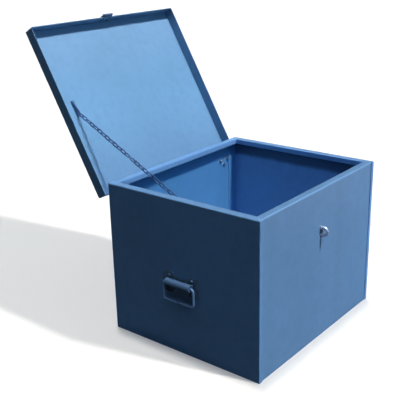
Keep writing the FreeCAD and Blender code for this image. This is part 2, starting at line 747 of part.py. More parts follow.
pin_point(staple_path, legs[0], 1, inside_y, middle_z + bend)
pin_point(staple_path, legs[1], 1, inside_y, middle_z - bend)
staple_section = new_sketch(staple, "XZ_Plane", -inside_y, "section")
add_circle(staple_section, 0, middle_z + bend, cell("staple_wire"))
doc.recompute()
staple_pipe = staple.newObject("PartDesign::AdditivePipe", "staple_pipe")
staple_pipe.Profile = staple_section
staple_pipe.Spine = (staple_path, ["Edge1", "Edge2", "Edge3"])
staple.Tip = staple_pipe
doc.recompute()
nut_group("staple_nuts", "XZ_Plane", staple_legs, -front_inner, -cell("nut_height"),
          cell("staple_wire"), cell("nut_radius") + 2.5)

# ---------------------------------------------------------------- stay chain

lid_eye_y = lid_outer_y - cell("bracket_along")
lid_eye_z = lid_top - cell("bracket_reach")

# Eye plate under the lid, near its left end.
lid_bracket = new_body("chain_lid_bracket")
bracket_plate = cell("hinge_plate")
foot = new_sketch(lid_bracket, "XY_Plane", lid_under, "foot")
plate_left = -cell("bracket_across") - bracket_plate / 2
add_rectangle(foot, plate_left, plate_left + 14, lid_eye_y - 50, lid_eye_y + 8)
pad(lid_bracket, foot, bracket_plate, reverse=True)
upright = new_sketch(lid_bracket, "YZ_Plane", plate_left, "upright")
add_polygon(upright, [
    (lid_eye_y - 50, lid_under), (lid_eye_y - 47, lid_under - 7), (lid_eye_y - 9, lid_eye_z - 7),
    (lid_eye_y + 8, lid_eye_z - 7), (lid_eye_y + 8, lid_under)])
pad(lid_bracket, upright, bracket_plate)
bolt_holes(lid_bracket, "YZ_Plane", plate_left, [(lid_eye_y, lid_eye_z)], cell("eye_radius"))
turn_open(lid_bracket)

# Cranked anchor, welded to the inside of the left rim.
anchor_z = height - cell("anchor_drop")
anchor = new_body("chain_box_anchor")
crank = new_sketch(anchor, "XZ_Plane", 0, "crank")
foot_x = -rim_inner_x
tab_x = -cell("anchor_across") - bracket_plate / 2
shelf_z = height - cell("rim_lip")
add_polygon(crank, [
    (foot_x, height - 3), (foot_x, shelf_z), (tab_x, shelf_z), (tab_x, anchor_z - 8),
    (tab_x + bracket_plate, anchor_z - 8), (tab_x + bracket_plate, shelf_z + bracket_plate),
    (foot_x + bracket_plate, shelf_z + bracket_plate), (foot_x + bracket_plate, height - 3)])
pad(anchor, crank, 24, both_ways=True)
bolt_holes(anchor, "YZ_Plane", tab_x, [(as_size(0), anchor_z)], cell("eye_radius"))


def opened(point):
    """Where a point of the closed lid is with the lid open."""
    turn = Rotation(Vector(1, 0, 0), -open_angle)
    pivot = Vector(0, hinge_y.value, hinge_z.value)
    return pivot + turn.multVec(point - pivot)


def link_shape(inner_length, wire, width):
    """One link along +X: a round wire bent to a stadium in the XY plane, its end at the origin."""
    bend_radius = (width - wire) / 2
    straight = inner_length + wire - 2 * bend_radius
    near_end, far_end = bend_radius, bend_radius + straight
    up = Vector(0, 0, 1)
    quarter = math.pi / 2
    left = Part.ArcOfCircle(Part.Circle(Vector(near_end, 0, 0), up, bend_radius), quarter, 3 * quarter)
    right = Part.ArcOfCircle(Part.Circle(Vector(far_end, 0, 0), up, bend_radius), -quarter, quarter)
    low = Part.LineSegment(Vector(near_end, -bend_radius, 0), Vector(far_end, -bend_radius, 0))
    high = Part.LineSegment(Vector(far_end, bend_radius, 0), Vector(near_end, bend_radius, 0))
    path = Part.Wire([left.toShape(), low.toShape(), right.toShape(), high.toShape()])
    start = Vector(near_end, bend_radius, 0)
    section = Part.Wire([Part.makeCircle(wire / 2, start, Vector(1, 0, 0))])
    return path.makePipeShell([section], True, True)


def chain_run(name, start, end):
    """A taut run of links from the eye at start towards end, every second link turned a quarter."""
    wire = cell("chain_wire").value
    width = cell("chain_link_width").value
    span = (end - start).Length
    inner_length = (span - 3 * wire - cell("chain_gap").value) / (2 * CHAIN_LINKS_PER_RUN)
    along = (end - start).normalize()
    across = Vector(1, 0, 0)
    across = (across - along * along.dot(across)).normalize()
    lay = Rotation(along, across, along.cross(across), "XYZ")
    link = link_shape(inner_length, wire, width)
    links = []
    for number in range(CHAIN_LINKS_PER_RUN):
        quarter = Rotation(Vector(1, 0, 0), 90 * (number % 2))
        piece = link.copy()
        piece.Placement = Placement(start + along * inner_length * number, lay.multiply(quarter))
        links.append(piece)
    run = doc.addObject("Part::Feature", name)
    run.Label = name
    run.Shape = Part.makeCompound(links)
    parts.append(run)
    return run


lid_eye = opened(Vector(-cell("bracket_across").value, lid_eye_y.value, lid_eye_z.value))
box_eye = Vector(-cell("anchor_across").value, 0, anchor_z.value)
chain_run("chain_lid_run", lid_eye, box_eye)
chain_run("chain_box_run", box_eye, lid_eye)

# ---------------------------------------------------------------- checks and export

doc.recompute()
for item in doc.Objects:
    if "Invalid" in item.State or "Error" in item.State:
        raise ValueError(f"{item.Name} failed: {item.State}")
for piece in parts:
    if piece.Shape.isNull() or not piece.Shape.isValid():
        raise ValueError(f"{piece.Label} has no valid shape")
for piece in parts:
    piece.Shape.exportStep(f"parts/{piece.Label}.step")

print(f"{len(parts)} sub-parts")
print("hinge axis", round(hinge_y.value, 3), round(hinge_z.value, 3))
print("hasp axis", opened(strap_pivot))
print("handle axis x", half_width.value + cell("handle_plate").value + cell("sleeve_radius").value)
print("lid eye", lid_eye, "box eye", box_eye, "span", (lid_eye - box_eye).Length)
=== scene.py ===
# Looks of the lidded steel storage chest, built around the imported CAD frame. Metres.
import json
import math
import random
from collections import namedtuple

import bmesh
import bpy
from mathutils import Matrix, Vector


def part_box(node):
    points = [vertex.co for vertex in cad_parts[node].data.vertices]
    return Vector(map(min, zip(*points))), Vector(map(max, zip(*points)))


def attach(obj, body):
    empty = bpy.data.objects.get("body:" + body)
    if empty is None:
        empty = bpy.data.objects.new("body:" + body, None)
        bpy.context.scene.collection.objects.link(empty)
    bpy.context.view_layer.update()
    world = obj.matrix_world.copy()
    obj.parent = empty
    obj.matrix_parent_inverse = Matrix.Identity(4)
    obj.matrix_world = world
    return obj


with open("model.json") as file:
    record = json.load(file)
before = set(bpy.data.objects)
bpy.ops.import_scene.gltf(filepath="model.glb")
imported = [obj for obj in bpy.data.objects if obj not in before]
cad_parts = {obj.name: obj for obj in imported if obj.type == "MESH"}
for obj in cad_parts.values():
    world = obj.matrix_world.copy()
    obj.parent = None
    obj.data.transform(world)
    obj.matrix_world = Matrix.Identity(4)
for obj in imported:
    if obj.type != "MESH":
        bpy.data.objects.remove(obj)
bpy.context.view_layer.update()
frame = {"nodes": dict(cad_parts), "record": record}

NODES = frame["nodes"]

# ---------------------------------------------------------------- camera

scene = bpy.context.scene
scene.view_settings.view_transform = "Standard"
scene.view_settings.look = "None"

CAMERA_TARGET = Vector((0.267, 0.415, 0.265))
CAMERA_DISTANCE = 3.064
CAMERA_AZIMUTH = math.radians(-50.98)
CAMERA_ELEVATION = math.radians(19.64)
CAMERA_ROLL = math.radians(-1.40)
CAMERA_LENS = 67.73
SENSOR_WIDTH = 36
CLIP_END = 60


def make_camera():
    """Look at the target from the given side and height, with the camera turned by the roll."""
    level = math.cos(CAMERA_ELEVATION)
    back = Vector((math.sin(CAMERA_AZIMUTH) * level, -math.cos(CAMERA_AZIMUTH) * level,
                   math.sin(CAMERA_ELEVATION)))
    data = bpy.data.cameras.new("camera")
    data.lens = CAMERA_LENS
    data.sensor_width = SENSOR_WIDTH
    data.clip_end = CLIP_END
    camera = bpy.data.objects.new("camera", data)
    scene.collection.objects.link(camera)
    camera.rotation_mode = "QUATERNION"
    camera.location = CAMERA_TARGET + back * CAMERA_DISTANCE
    aim = (-back).to_track_quat("-Z", "Y").to_matrix()
    camera.rotation_quaternion = (aim @ Matrix.Rotation(CAMERA_ROLL, 3, "Z")).to_quaternion()
    scene.camera = camera


make_camera()

# ---------------------------------------------------------------- places on the chest

MM = 0.001
UP = Vector((0, 0, 1))
DOWN = Vector((0, 0, -1))
FORWARD = Vector((0, -1, 0))
ENDS = (("left", -1), ("right", 1))

JOINTS = {joint["name"]: joint for joint in frame["record"]["behaviour"]["joints"]}
HINGE = Vector(JOINTS["lid_hinge"]["pos_m"])
OPEN_ANGLE = math.radians(JOINTS["lid_hinge"]["range_deg"][1])
GRIP_AXIS_Z = JOINTS["left_bail_swing"]["pos_m"][2]

side_low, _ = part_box("left_side_panel")
back_low, back_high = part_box("back_panel")
front_low, front_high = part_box("front_panel")
FLOOR_LOW, FLOOR_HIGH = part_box("floor_panel")

SHEET = 2 * MM
HALF_WIDTH, HALF_DEPTH, HEIGHT = back_high
INNER_X = HALF_WIDTH - SHEET
BACK_INNER = HALF_DEPTH - SHEET
FRONT_FACE = front_low.y
RIM_FRONT = front_high.y
RIM_BACK = back_low.y
RIM_X = HALF_WIDTH - (front_high.y - side_low.y)
RIM_LIP_END = HEIGHT - 18 * MM
RETURN_X = INNER_X - 45 * MM

# The inside of the closed lid, and the lid's turn from there to the open rest pose.
LID_INNER_X = HALF_WIDTH + 1.5 * MM
LID_INNER_Y = HALF_DEPTH + 1.5 * MM
LID_UNDER = HEIGHT + 0.5 * MM
LID_EDGE = LID_UNDER + SHEET - 39 * MM
OPENED = Matrix.Translation(HINGE) @ Matrix.Rotation(-OPEN_ANGLE, 4, "X") @ Matrix.Translation(-HINGE)

# ---------------------------------------------------------------- light and floor

WHITE = (1.0, 1.0, 1.0)

# Towards is the way from the chest to the sun, and width is the disk's, in degrees.
Sun = namedtuple("Sun", "towards strength width colour")
SUNS = {
    "key": Sun((0.04, -0.516, 1.106), 4.45, 5.0, WHITE),
    "fill": Sun((0.15, -1.0, 0.36), 0.60, 50.0, (0.32, 0.60, 0.85)),
    "fittings": Sun((-0.55, -0.45, 1.0), 1.5, 14.0, (0.8, 0.9, 1.0)),
    "inside_fill": Sun((-0.55, -0.60, 0.85), 0.90, 40.0, (0.26, 0.48, 1.0)),
    "behind_fill": Sun((0.70, 1.0, 0.15), 1.3, 40.0, (0.80, 0.90, 1.0)),
    "floor_shadow": Sun((0.31, -1.25, 1.00), 2.2, 3.0, WHITE),
    "floor_contact": Sun((0.050, 0.070, 1.0), 1.3, 5.0, WHITE),
}

GLOW_PLACE = Vector((1.35, -1.45, 0.35))
GLOW_TARGET = Vector((0.35, -0.30, 0.30))
GLOW_SIZE = 0.9
GLOW_POWER = 6.0
GLOW_COLOUR = (0.66, 0.76, 1.0)

# The sky's strength rises from the low height to the top; a height is the sine of the elevation.
SKY_COLOUR = (0.62, 0.80, 1.0)
SKY_LOW, SKY_LOW_STRENGTH = 0.60, 0.02
SKY_TOP, SKY_TOP_STRENGTH = 1.0, 0.80

REACH = 14.0
STAGE_CORNERS = [(-REACH, -REACH), (REACH, -REACH), (REACH, REACH), (-REACH, REACH)]
FLOOR_LEVEL, FLOOR_ALBEDO, FLOOR_GLOW = -0.4 * MM, (0.90, 0.85, 0.79), 0.19
BOUNCE_LEVEL, BOUNCE_ALBEDO = -1.0 * MM, (0.038, 0.052, 0.068)
BACKDROP_FOOT, BACKDROP_TOP, BACKDROP_ALBEDO = -10 * MM, 12.0, (0.88, 0.88, 0.88)


def light_only(lamp, state, *things):
    """INCLUDE: the lamp lights nothing but the things. EXCLUDE: it lights all but the things."""
    receivers = bpy.data.collections.new(f"{lamp.name}_{state.lower()}")
    for thing in things:
        receivers.objects.link(thing)
    for member in receivers.collection_objects:
        member.light_linking.link_state = state
    lamp.light_linking.receiver_collection = receivers


def shade_only(lamp, *things):
    """Nothing but the things throws a shadow in this lamp's light."""
    blockers = bpy.data.collections.new(f"{lamp.name}_blockers")
    for thing in things:
        blockers.objects.link(thing)
    lamp.light_linking.blocker_collection = blockers


def place_lamp(data, away):
    """A lamp that shines from the away direction, towards the chest."""
    lamp = bpy.data.objects.new(data.name, data)
    scene.collection.objects.link(lamp)
    lamp.rotation_mode = "QUATERNION"
    lamp.rotation_quaternion = away.to_track_quat("Z", "Y")
    return lamp


def make_sun(name):
    sun = SUNS[name]
    data = bpy.data.lights.new(name, "SUN")
    data.energy = sun.strength
    data.angle = math.radians(sun.width)
    data.color = sun.colour
    return place_lamp(data, Vector(sun.towards).normalized())


def make_glow():
    """A soft lamp low on the right, nearer to that end of the front."""
    data = bpy.data.lights.new("front_glow", "AREA")
    data.shape = "DISK"
    data.size = GLOW_SIZE
    data.energy = GLOW_POWER
    data.color = GLOW_COLOUR
    lamp = place_lamp(data, GLOW_PLACE - GLOW_TARGET)
    lamp.location = GLOW_PLACE
    light_only(lamp, "INCLUDE", NODES["front_panel"], NODES["right_side_panel"], NODES["left_side_panel"])


def make_world():
    """A studio sky: bright overhead, fading to nearly dark at about 37 degrees above the horizon."""
    world = bpy.data.worlds.new("studio")
    scene.world = world
    world.use_nodes = True
    tree = world.node_tree
    background = tree.nodes["Background"]
    background.inputs["Color"].default_value = SKY_COLOUR + (1,)
    direction = tree.nodes.new("ShaderNodeTexCoord").outputs["Generated"]
    parts = tree.nodes.new("ShaderNodeSeparateXYZ")
    height = tree.nodes.new("ShaderNodeMapRange")
    height.interpolation_type = "SMOOTHSTEP"
    height.inputs["From Min"].default_value = SKY_LOW
    height.inputs["From Max"].default_value = SKY_TOP
    height.inputs["To Min"].default_value = SKY_LOW_STRENGTH
    height.inputs["To Max"].default_value = SKY_TOP_STRENGTH
    tree.links.new(direction, parts.inputs[0])
    tree.links.new(parts.outputs["Z"], height.inputs["Value"])
    tree.links.new(height.outputs["Result"], background.inputs["Strength"])


def matt(name, albedo, glow):
    """A plain material without gloss, which gives off a little light of its own."""
    material = bpy.data.materials.new(name)
    material.use_nodes = True
    shader = material.node_tree.nodes["Principled BSDF"]
    shader.inputs["Base Color"].default_value = albedo + (1,)
    shader.inputs["Roughness"].default_value = 0.9
    shader.inputs["Specular IOR Level"].default_value = 0.1
    shader.inputs["Emission Color"].default_value = WHITE + (1,)
    shader.inputs["Emission Strength"].default_value = glow
    return material


def make_surface(name, points, faces, albedo, glow):
    """A part of the stage, with one plain matt material."""
    mesh = bpy.data.meshes.new(name)
    mesh.from_pydata(points, [], faces)
    mesh.materials.append(matt(name, albedo, glow))
    surface = bpy.data.objects.new(name, mesh)
    scene.collection.objects.link(surface)
    return surface


def hide_from_light(thing):
    """The camera sees the thing; it blocks, throws back and mirrors nothing."""
    thing.visible_diffuse = False
    thing.visible_glossy = False
    thing.visible_shadow = False


def make_floor():
    """A pale floor for the eye, and a darker one below it for the light that it throws back."""
    whole = [(0, 1, 2, 3)]
    points = [(x, y, FLOOR_LEVEL) for x, y in STAGE_CORNERS]
    floor = make_surface("floor", points, whole, FLOOR_ALBEDO, FLOOR_GLOW)
    hide_from_light(floor)
    points = [(x, y, BOUNCE_LEVEL) for x, y in STAGE_CORNERS]
    bounce = make_surface("floor_bounce", points, whole, BOUNCE_ALBEDO, glow=0.0)
    bounce.visible_camera = False
    return floor


def make_backdrop():
    """A plain white wall all round, well behind the chest."""
    points = [(x, y, z) for z in (BACKDROP_FOOT, BACKDROP_TOP) for x, y in STAGE_CORNERS]
    faces = [(n, (n + 1) % 4, (n + 1) % 4 + 4, n + 4) for n in range(4)]
    hide_from_light(make_surface("backdrop", points, faces, BACKDROP_ALBEDO, glow=1.0))


def make_lamps(floor):
    """Lamps for the chest, lamps for some of its parts only, and two for the floor alone."""
    light_only(make_sun("key"), "EXCLUDE", floor)
    light_only(make_sun("fill"), "EXCLUDE", floor, NODES["front_panel"])
    fittings = [NODES[name] for name in NODES if "handle" in name or name == "staple"]
    light_only(make_sun("fittings"), "INCLUDE", *fittings)
    light_only(make_sun("inside_fill"), "INCLUDE", NODES["right_side_panel"], NODES["back_panel"])
    backs = [NODES[name] for name in NODES if "hinge" in name or "hasp" in name or "right" in name]
    light_only(make_sun("behind_fill"), "INCLUDE", NODES["back_panel"], NODES["lid_pan"], *backs)
    light_only(make_sun("floor_shadow"), "INCLUDE", floor)

    # The box darkens the floor round its foot; the open lid would darken it a second time.
    contact = make_sun("floor_contact")
    light_only(contact, "INCLUDE", floor)
    shade_only(contact, *[NODES[f"{wall}_panel"] for wall in ("front", "back", "left_side", "right_side")])


# With the light tree, lamps linked to parts light the lid differently from one render to the next.
scene.cycles.use_light_tree = False
make_world()
make_lamps(make_floor())
make_backdrop()
make_glow()

# ---------------------------------------------------------------- shader nodes

NOISE_ROUGHNESS = 0.55
BEVEL_SAMPLES = 6


class Nodes:
    """A material's node tree: each call adds nodes and gives back their output."""

    def __init__(self, name):
        self.material = bpy.data.materials.new(name)
        self.material.use_nodes = True
        self.tree = self.material.node_tree
        self.shader = self.tree.nodes["Principled BSDF"]
        self.position = self.add("ShaderNodeTexCoord").outputs["Object"]

    def add(self, kind, **settings):
        node = self.tree.nodes.new(kind)
        for key, value in settings.items():
            setattr(node, key, value)
        return node

    def link(self, source, target):
        """The source is a number, a tuple of numbers or another node's output."""
        if isinstance(source, (int, float, tuple)):
            target.default_value = source
        else:
            self.tree.links.new(source, target)

    def parts(self, vector):
        node = self.add("ShaderNodeSeparateXYZ")
        self.link(vector, node.inputs[0])
        return node.outputs["X"], node.outputs["Y"], node.outputs["Z"]

    def noise(self, scale, detail=4.0, stretch=None):
        node = self.add("ShaderNodeTexNoise")
        node.inputs["Scale"].default_value = scale
        node.inputs["Detail"].default_value = detail
        node.inputs["Roughness"].default_value = NOISE_ROUGHNESS
        self.link(self.stretched(stretch), node.inputs["Vector"])
        return node.outputs["Fac"]

    def stretched(self, stretch):
        if stretch is None:
            return self.position
        node = self.add("ShaderNodeMapping")
        node.inputs["Scale"].default_value = stretch
        self.link(self.position, node.inputs["Vector"])
        return node.outputs["Vector"]

    def ramp(self, value, low, high, out_low=0.0, out_high=1.0):
        """A smooth step: out_low up to low, out_high from high on. Low may be the larger of the two."""
        node = self.add("ShaderNodeMapRange", interpolation_type="SMOOTHSTEP")
        self.link(value, node.inputs["Value"])
        node.inputs["From Min"].default_value = low
        node.inputs["From Max"].default_value = high
        node.inputs["To Min"].default_value = out_low
        node.inputs["To Max"].default_value = out_high
        return node.outputs["Result"]

    def band(self, value, start, full, fading, end):
        """1 where the value is between full and fading, 0 before start and past end."""
        return self.times(self.ramp(value, start, full), self.ramp(value, end, fading))

    def patches(self, scale, low, high, out_low=0.0, out_high=1.0, **settings):
        """Noise as patches: out_low where it is weaker than low, out_high where stronger than high."""
        return self.ramp(self.noise(scale, **settings), low, high, out_low, out_high)

    def math(self, operation, first, second=0.0):
        node = self.add("ShaderNodeMath", operation=operation)
        self.link(first, node.inputs[0])
        self.link(second, node.inputs[1])
        return node.outputs[0]

    def times(self, first, *others):
        for other in others:
            first = self.math("MULTIPLY", first, other)
        return first

    def mix(self, factor, first, second, blend="MIX"):
        node = self.add("ShaderNodeMix", data_type="RGBA", blend_type=blend)
        self.link(factor, node.inputs[0])
        self.link(first, node.inputs[6])
        self.link(second, node.inputs[7])
        return node.outputs[2]

    def rounded(self, radius):
        """The surface's normal with its edges rounded."""
        node = self.add("ShaderNodeBevel", samples=BEVEL_SAMPLES)
        node.inputs["Radius"].default_value = radius
        return node.outputs["Normal"]

    def edges(self, radius, sharp, flat):
        """0 where the cosine between the rounded and the real normal is over flat, 1 under sharp."""
        dot = self.add("ShaderNodeVectorMath", operation="DOT_PRODUCT")
        self.link(self.rounded(radius), dot.inputs[0])
        self.link(self.add("ShaderNodeNewGeometry").outputs["Normal"], dot.inputs[1])
        return self.ramp(dot.outputs["Value"], flat, sharp)

    def bump(self, height, radius):
        """Relief from a height in metres, over edges rounded by the radius."""
        node = self.add("ShaderNodeBump")
        node.inputs["Distance"].default_value = 1.0
        node.inputs["Strength"].default_value = 1.0
        self.link(height, node.inputs["Height"])
        self.link(self.rounded(radius), node.inputs["Normal"])
        self.link(node.outputs["Normal"], self.shader.inputs["Normal"])


def shade(colour, factor):
    """The colour made lighter or darker, as a socket takes it."""
    return tuple(min(1.0, part * factor) for part in colour) + (1,)


# ---------------------------------------------------------------- enamel

STEEL_GREY = (0.40, 0.42, 0.46, 1)
RUST = (0.20, 0.075, 0.022, 1)
# How much darker the painted shade on the back's inner face is, in red, green and blue.
INSIDE_SHADE = (0.52, 0.80, 0.88)

# Heights on the open lid: its foot by the hinges, its middle, its far end, and the edge itself.
LID_FOOT_Z, LID_MIDDLE_Z, LID_END_Z = 0.44, 0.72, 1.02
FREE_EDGE_START_Z, FREE_EDGE_Z = 0.985, 1.000


def clouded(n, base, clouds):
    """Broad clouds, a finer mottle, and faint runs down the sheet."""
    colour = n.mix(clouds, shade(base, 0.95), shade(base, 1.05))
    mottle = n.patches(38.0, 0.42, 0.75, detail=5)
    colour = n.mix(n.times(mottle, 0.25), colour, shade(base, 0.72))
    runs = n.patches(9.0, 0.52, 0.78, detail=4, stretch=(1, 1, 0.07))
    return n.mix(n.times(runs, 0.30), colour, shade(base, 0.80))


def painted_shade_inside(n, colour, base, clouds, y, z):
    """Painted shade: the inside of the back is painted a darker, deeper blue for the dimmer, bluer light
    inside the box.
    """
    face = n.band(y, BACK_INNER - 4.0 * MM, BACK_INNER - 2.5 * MM,
                  BACK_INNER + 0.7 * MM, BACK_INNER + 1.1 * MM)
    inside = n.times(face, n.ramp(z, RIM_LIP_END, RIM_LIP_END - 7 * MM))
    deep = tuple(part * keep for part, keep in zip(base, INSIDE_SHADE))
    return n.mix(inside, colour, n.mix(clouds, shade(deep, 0.92), shade(deep, 1.08)))


def painted_shade_under_rim(n, colour, base, across, z, ragged):
    """Painted shade: a ragged dark band on the ends' inner faces just under the rim, where the rim shades
    them.
    """
    face = n.band(across, INNER_X - 1.0 * MM, INNER_X - 0.2 * MM, INNER_X + 0.5 * MM, INNER_X + 1.2 * MM)
    rim_shade = n.times(face, n.ramp(ragged, HEIGHT - 68 * MM, HEIGHT - 50 * MM),
                     n.ramp(z, HEIGHT - 10 * MM, HEIGHT - 15 * MM))
    return n.mix(n.times(rim_shade, 0.8), colour, shade(base, 0.16))


def painted_lid_gradient(n, colour, z, foot_shade, end_light):
    """Painted light and shade along the open lid: darker towards its foot by the hinges, lighter towards its
    far end.
    """
    tint = n.mix(n.ramp(z, LID_MIDDLE_Z, LID_END_Z), WHITE + (1,), end_light + (1,))
    tint = n.mix(n.ramp(z, LID_MIDDLE_Z, LID_FOOT_Z), tint, foot_shade + (1,))
    return n.mix(1.0, colour, tint, "MULTIPLY")


def painted_shade_behind_grip(n, colour, base, across, y, z, ragged):
    """Painted shade: a dark patch on the ends' outer faces behind each grip, where the sleeve and ring shade
    the wall.
    """
    outer_face = n.ramp(across, HALF_WIDTH - 1.2 * MM, HALF_WIDTH - 0.6 * MM)
    width = n.ramp(n.math("ABSOLUTE", y), 62 * MM, 48 * MM)
    bottom = n.ramp(ragged, GRIP_AXIS_Z - 62 * MM, GRIP_AXIS_Z - 48 * MM)
    top = n.ramp(z, GRIP_AXIS_Z + 24 * MM, GRIP_AXIS_Z + 10 * MM)
    return n.mix(n.times(outer_face, width, bottom, top, 0.75), colour, shade(base, 0.30))


def painted_shade_on_tops(n, y):
    """How much painted shade darkens the upward faces, least on the back rim; the same mask roughens them a
    little.
    """
    _, _, up = n.parts(n.add("ShaderNodeNewGeometry").outputs["Normal"])
    top = n.ramp(up, 0.75, 0.98)
    shade_amount = n.ramp(y, HALF_DEPTH - 14 * MM, HALF_DEPTH - 39 * MM, 0.55, 1.0)
    return n.times(top, shade_amount, n.patches(16.0, 0.25, 0.7, 0.75, 1.0, detail=5))


def scratched(n, colour, base):
    """Fine scratches in two directions, only in patches."""
    upright = n.patches(70.0, 0.72, 0.76, detail=2, stretch=(1, 1, 0.03))
    level = n.patches(64.0, 0.72, 0.76, detail=2, stretch=(0.04, 0.04, 1))
    scratches = n.times(n.math("MAXIMUM", upright, level), n.patches(5.0, 0.50, 0.66, detail=2))
    return n.mix(n.times(scratches, 0.4), colour, shade(base, 1.5))


def highlit_and_chipped_edges(n, colour, base, z, wear):
    """A painted highlight lies along bends and edges; the paint chips there, most of all along the lid's free
    edge.
    """
    edge = n.edges(2.2 * MM, sharp=0.80, flat=0.985)
    # Painted highlight along bends and edges.
    edge_highlight = n.times(edge, n.patches(45.0, 0.35, 0.65, detail=5))
    colour = n.mix(n.times(edge_highlight, 0.60), colour, shade(base, 1.70))

    free_edge = n.ramp(z, FREE_EDGE_START_Z, FREE_EDGE_Z, 0.0, 0.9)
    worn_areas = n.patches(11.0, 0.52, 0.62, 0.0, wear, detail=2)
    chips = n.times(edge, n.patches(150.0, 0.60, 0.66), n.math("MAXIMUM", free_edge, worn_areas))
    rubbed = n.times(edge, free_edge, n.patches(62.0, 0.40, 0.50))
    chips = n.math("MAXIMUM", chips, rubbed)
    return chips, n.mix(chips, colour, n.mix(n.patches(90.0, 0.52, 0.64), STEEL_GREY, RUST))


def paint(name, base, wear=0.5, waviness=1.5 * MM, roughness=0.36, light_gradient=None):
    """Satin enamel on folded steel, with painted shade and painted highlights in its colour.

    Wear is how strongly the edges' chips show, waviness is how far the sheet buckles, and the last argument
    holds the tints of the painted shade at the open lid's foot and of the painted light at its far end.
    """
    n = Nodes(name)
    x, y, z = n.parts(n.position)
    across = n.math("ABSOLUTE", x)
    ragged = n.math("ADD", z, n.times(n.noise(12.0, detail=3), 14 * MM))
    clouds = n.patches(2.6, 0.3, 0.7, detail=3)

    colour = clouded(n, base, clouds)
    colour = painted_shade_inside(n, colour, base, clouds, y, z)
    colour = painted_shade_under_rim(n, colour, base, across, z, ragged)
    if light_gradient:
        colour = painted_lid_gradient(n, colour, z, *light_gradient)
    colour = painted_shade_behind_grip(n, colour, base, across, y, z, ragged)
    # Painted shade on the upward faces.
    top_shade = painted_shade_on_tops(n, y)
    colour = n.mix(top_shade, colour, shade(base, 0.58))
    colour = scratched(n, colour, base)
    chips, colour = highlit_and_chipped_edges(n, colour, base, z, wear)
    n.link(colour, n.shader.inputs["Base Color"])

    satin = n.patches(24.0, 0.3, 0.7, roughness - 0.06, roughness + 0.08, detail=5)
    n.link(n.math("ADD", satin, n.times(top_shade, 0.22)), n.shader.inputs["Roughness"])

    orange_peel = n.times(n.noise(420.0, detail=2), 0.10 * MM)
    buckling = n.times(n.noise(3.2, detail=1), waviness)
    chip_depth = n.times(chips, -0.25 * MM)
    n.bump(n.math("ADD", n.math("ADD", orange_peel, buckling), chip_depth), radius=0.8 * MM)
    return n.material


def metal(name, base, roughness, metallic=1.0, tarnish=0.5):
    """Zinc-plated or oiled steel with blotches, fine pits and a little rust in the hollows."""
    n = Nodes(name)
    n.shader.inputs["Metallic"].default_value = metallic
    colour = n.mix(n.patches(110.0, 0.3, 0.7, detail=5), shade(base, 0.78), shade(base, 1.15))
    rust = n.times(n.patches(75.0, 0.60, 0.74, detail=5), tarnish)
    n.link(n.mix(rust, colour, RUST), n.shader.inputs["Base Color"])
    n.link(n.patches(300.0, 0.3, 0.7, roughness - 0.08, roughness + 0.12), n.shader.inputs["Roughness"])
    n.bump(n.times(n.noise(900.0, detail=3), 0.06 * MM), radius=0.4 * MM)
    return n.material


CHEST = paint("chest_enamel", (0.146, 0.304, 0.54))
FITTING = paint("fitting_enamel", (0.085, 0.165, 0.30), wear=0.8, waviness=0.2 * MM, roughness=0.20)
# The lid's enamel is the chest's with less blue, to offset the blue of the fill lamp on the lid; it also
# carries a painted light gradient.
LID_ENAMEL = paint("lid_enamel", (0.146, 0.304, 0.495), wear=0.9,
                   light_gradient=((0.86, 0.82, 0.85), (1.26, 1.11, 1.08)))
# Nearly black enamel, painted shade: on the handles' plates and their welds for the shadow of the sleeve and
# ring, and on the pad behind the staple.
SHADED_PLATE = paint("shaded_plate_enamel", (0.040, 0.070, 0.118), wear=0.6, waviness=0.2 * MM, roughness=0.24)
STAPLE = metal("staple_steel", (0.47, 0.55, 0.69), 0.27, metallic=0.6, tarnish=0.2)
PLATED = metal("zinc_plate", (0.55, 0.58, 0.62), 0.34, tarnish=0.3)
CHAIN = metal("chain_steel", (0.065, 0.135, 0.31), 0.24, metallic=0.40, tarnish=0.2)

BY_SLOT = {"chest_paint": CHEST, "fitting_paint": FITTING, "plated_steel": PLATED}
BY_NODE = {"lid_pan": LID_ENAMEL, "left_handle_plate": SHADED_PLATE, "right_handle_plate": SHADED_PLATE,
           "chain_lid_run": CHAIN, "chain_box_run": CHAIN, "staple": STAPLE, "staple_nuts": STAPLE}
for entry in frame["record"]["subparts"]:
    materials = NODES[entry["node"]].data.materials
    materials.clear()
    materials.append(BY_NODE.get(entry["node"], BY_SLOT[entry["material_slot"]]))

# ---------------------------------------------------------------- shapes

rng = random.Random(7)


def finish_piece(name, bm, body, material, smooth=True):
    """Make a piece of the finished mesh work, which rides on the body."""
    mesh = bpy.data.meshes.new(name)
    bmesh.ops.recalc_face_normals(bm, faces=bm.faces)
    bm.to_mesh(mesh)
    bm.free()
    for face in mesh.polygons:
        face.use_smooth = smooth
    mesh.materials.append(material)
    piece = bpy.data.objects.new(name, mesh)
    scene.collection.objects.link(piece)
    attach(piece, body)


def join_rings(bm, first, second):
    """A band of faces between two rings with as many points each."""
    for number in range(len(first)):
        after = (number + 1) % len(first)
        bm.faces.new((first[number], first[after], second[after], second[number]))


def sweep(bm, points, radii, up, squash=1.0, sides=10):
    """A closed round bar through the points, flattened along up, with a radius at each point."""
    rings = []
    for number, (point, radius) in enumerate(zip(points, radii)):
        ahead = points[min(number + 1, len(points) - 1)] - points[max(number - 1, 0)]
        along = ahead.normalized()
        across = along.cross(up).normalized()
        high = across.cross(along)
        ring = []
        for side in range(sides):
            angle = 2 * math.pi * side / sides
            offset = across * (radius * math.cos(angle)) + high * (radius * squash * math.sin(angle))
            ring.append(bm.verts.new(point + offset))
        rings.append(ring)
    for first, second in zip(rings, rings[1:]):
        join_rings(bm, first, second)
    bm.faces.new(rings[0][::-1])
    bm.faces.new(rings[-1])


